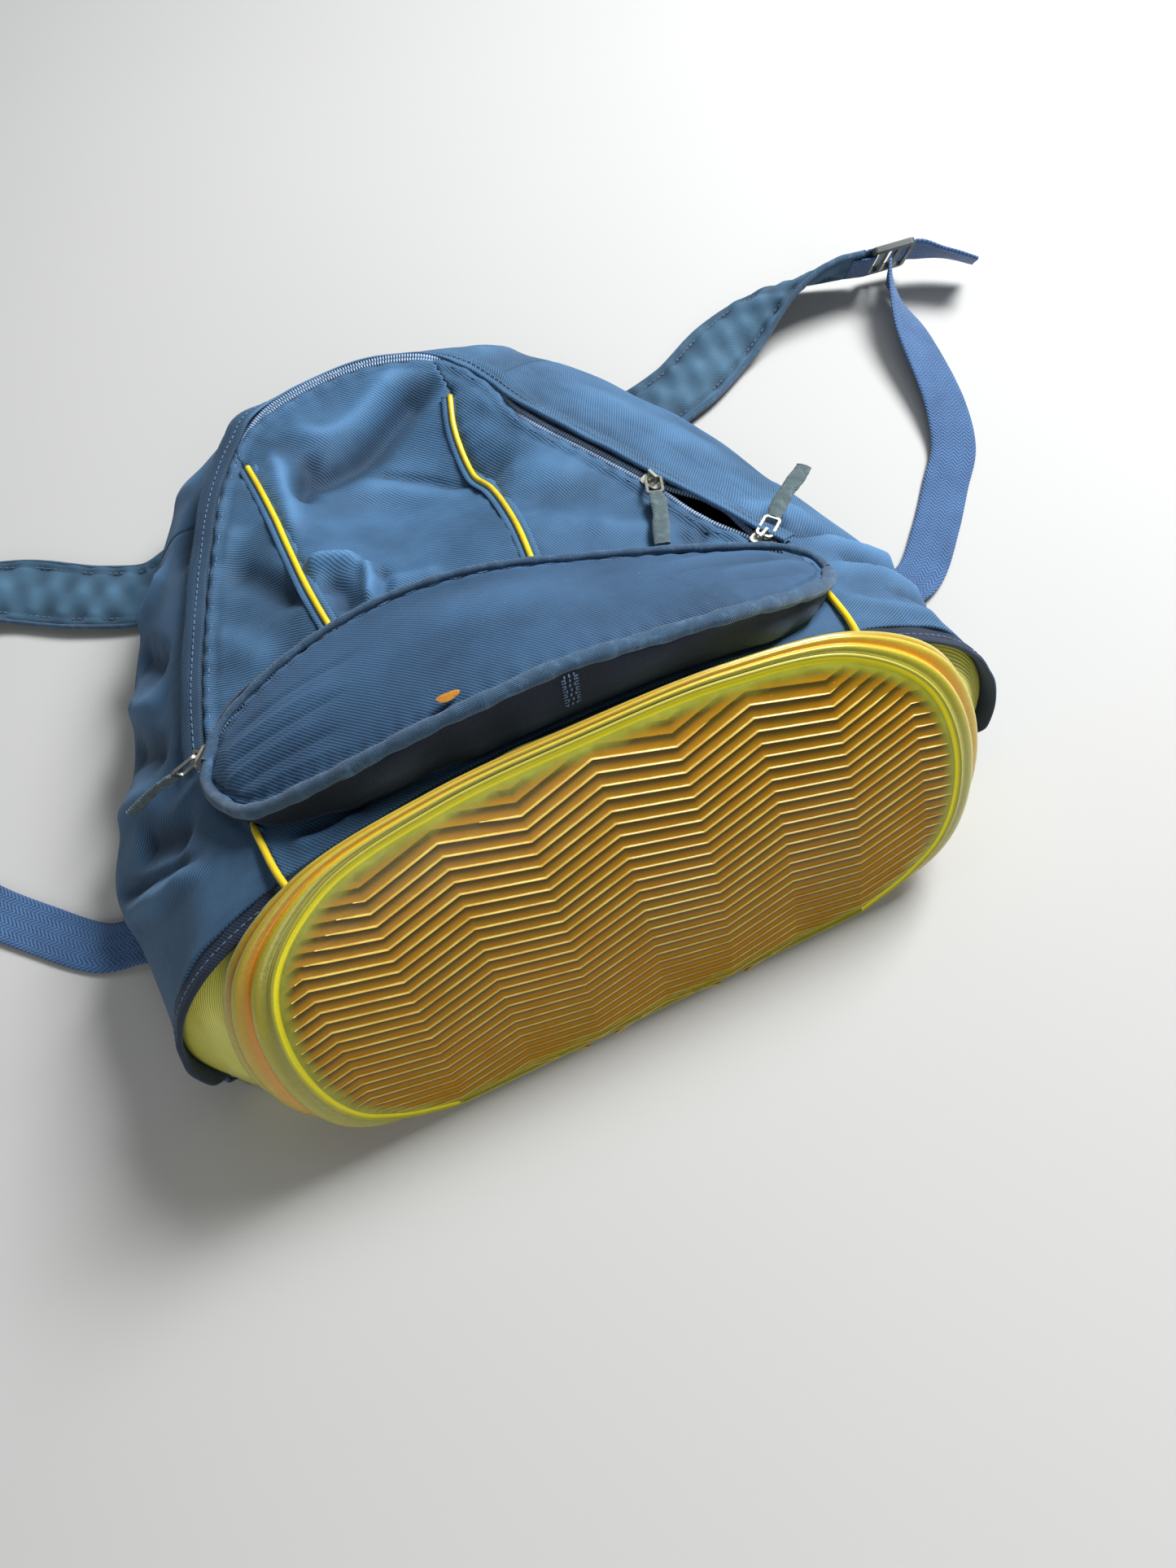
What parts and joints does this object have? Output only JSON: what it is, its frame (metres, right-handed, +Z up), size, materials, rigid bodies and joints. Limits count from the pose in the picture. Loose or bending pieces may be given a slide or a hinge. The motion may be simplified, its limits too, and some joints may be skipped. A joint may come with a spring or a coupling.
{
  "type": "sports backpack",
  "caption": "Soft sports backpack lying on its back, with a ribbed moulded rubber base, arched main zip, front pocket, and two padded straps spread to the sides.",
  "frame": {"origin": "centre of the back pad's resting face", "axes": "+X along the base's width, +Y from the rubber base to the top of the bag, +Z up from the floor it lies on"},
  "size_m": [0.7717, 0.4551, 0.1631],
  "materials": {
    "navy_twill": "worn navy polyester twill",
    "padded_navy": "quilted navy twill over foam",
    "blue_webbing": "woven webbing",
    "yellow_piping": "glossy piping",
    "amber_rubber": "translucent moulded rubber",
    "amber_insert": "satin",
    "yellow_band": "twill under clear film",
    "zip_tape": "woven tape",
    "zip_coil": "nylon coil",
    "nickel": "worn nickel",
    "pull_ribbon": "worn grosgrain",
    "dark_plastic": "moulded"
  },
  "bodies": {
    "bag": {"back_pad": "padded_navy", "back_panel": "navy_twill", "base_band": "yellow_band", "base_board": "amber_insert", "base_cup": "amber_rubber", "base_insert": "amber_insert", "front_panel_centre": "navy_twill", "front_panel_left": "navy_twill", "front_panel_lower": "navy_twill", "front_panel_right": "navy_twill", "haul_loop_tabs": "blue_webbing", "hem_binding": "navy_twill", "main_zip_coil_inner": "zip_coil", "main_zip_coil_outer": "zip_coil", "main_zip_stops": "nickel", "main_zip_tape_inner": "zip_tape", "main_zip_tape_outer": "zip_tape", "piping_lower_left": "yellow_piping", "piping_lower_right": "yellow_piping", "piping_upper_left": "yellow_piping", "piping_upper_right": "yellow_piping", "pocket_bartack": "navy_twill", "pocket_face": "navy_twill", "pocket_gusset_lower": "navy_twill", "pocket_gusset_upper": "navy_twill", "pocket_piping_lower": "navy_twill", "pocket_piping_upper": "navy_twill", "pocket_zip_coils": "zip_coil", "pocket_zip_tapes": "zip_tape", "side_gusset_left": "navy_twill", "side_gusset_right": "navy_twill", "strap_root_left": "padded_navy", "strap_root_right": "padded_navy", "top_gusset": "navy_twill", "tread_ribs": "amber_rubber", "webbing_anchor_left": "blue_webbing", "webbing_anchor_right": "blue_webbing", "zip_end_left": "navy_twill", "zip_end_right": "navy_twill", "zip_flap": "navy_twill"},
    "upper_slider": {"main_slider_upper": "nickel"},
    "upper_pull": {"main_pull_upper_link": "nickel", "main_pull_upper_ribbon": "pull_ribbon"},
    "lower_slider": {"main_slider_lower": "nickel"},
    "lower_pull": {"main_pull_lower_link": "nickel", "main_pull_lower_ribbon": "pull_ribbon"},
    "pocket_slider": {"pocket_slider": "nickel"},
    "pocket_pull": {"pocket_pull_link": "nickel", "pocket_pull_ribbon": "pull_ribbon"},
    "right_strap": {"strap_pad_right": "padded_navy", "buckle_loop_right": "blue_webbing", "webbing_right": "blue_webbing"},
    "right_buckle": {"ladder_lock_right": "dark_plastic", "webbing_tail_right": "blue_webbing"},
    "left_strap": {"strap_pad_left": "padded_navy", "buckle_loop_left": "blue_webbing", "webbing_left": "blue_webbing"},
    "left_buckle": {"ladder_lock_left": "dark_plastic", "webbing_tail_left": "blue_webbing"},
    "haul_loop": {"haul_loop": "blue_webbing"}
  },
  "joints": [
    {"name": "upper_slider_slide", "type": "slide", "parent": "bag", "child": "upper_slider", "axis": [0.4391, -0.8984, 0], "range_m": [-0.078, 0.018]},
    {"name": "lower_slider_slide", "type": "slide", "parent": "bag", "child": "lower_slider", "axis": [-0.4391, 0.8984, 0], "range_m": [0, 0.015]},
    {"name": "upper_pull_hinge", "type": "hinge", "parent": "upper_slider", "child": "upper_pull", "pos_m": [0.10091, 0.00848, 0.0898], "axis": [-0.9381, 0.3465, 0], "range_deg": [0, 150]},
    {"name": "lower_pull_hinge", "type": "hinge", "parent": "lower_slider", "child": "lower_pull", "pos_m": [0.12901, -0.04902, 0.0898], "axis": [0.6172, -0.7868, 0], "range_deg": [0, 100]},
    {"name": "pocket_slider_slide", "type": "slide", "parent": "bag", "child": "pocket_slider", "axis": [0.6585, 0.7526, 0], "range_m": [0, 0.004]},
    {"name": "pocket_pull_hinge", "type": "hinge", "parent": "pocket_slider", "child": "pocket_pull", "pos_m": [-0.141, -0.04657, 0.0965], "axis": [0.2606, 0.2978, -0.9184], "range_deg": [0, 80]},
    {"name": "right_strap_swing", "type": "hinge", "parent": "bag", "child": "right_strap", "pos_m": [0.206, 0.0455, 0.00655], "axis": [0.2485, -0.9681, -0.0316], "range_deg": [0, 90]},
    {"name": "right_buckle_tilt", "type": "hinge", "parent": "right_strap", "child": "right_buckle", "pos_m": [0.32704, 0.16482, 0.02077], "axis": [0.146, 0.48, -0.865], "range_deg": [-12, 12]},
    {"name": "left_strap_swing", "type": "hinge", "parent": "bag", "child": "left_strap", "pos_m": [-0.205, 0.05, 0.00655], "axis": [0.2013, 0.9791, 0.0279], "range_deg": [0, 90]},
    {"name": "left_buckle_tilt", "type": "hinge", "parent": "left_strap", "child": "left_buckle", "pos_m": [-0.32675, 0.18318, 0.02076], "axis": [-0.1815, 0.471, -0.8633], "range_deg": [-12, 12]},
    {"name": "haul_loop_swing", "type": "hinge", "parent": "bag", "child": "haul_loop", "pos_m": [-0.02, 0.23, 0.0068], "axis": [1, 0, 0], "range_deg": [0, 90]}
  ]
}
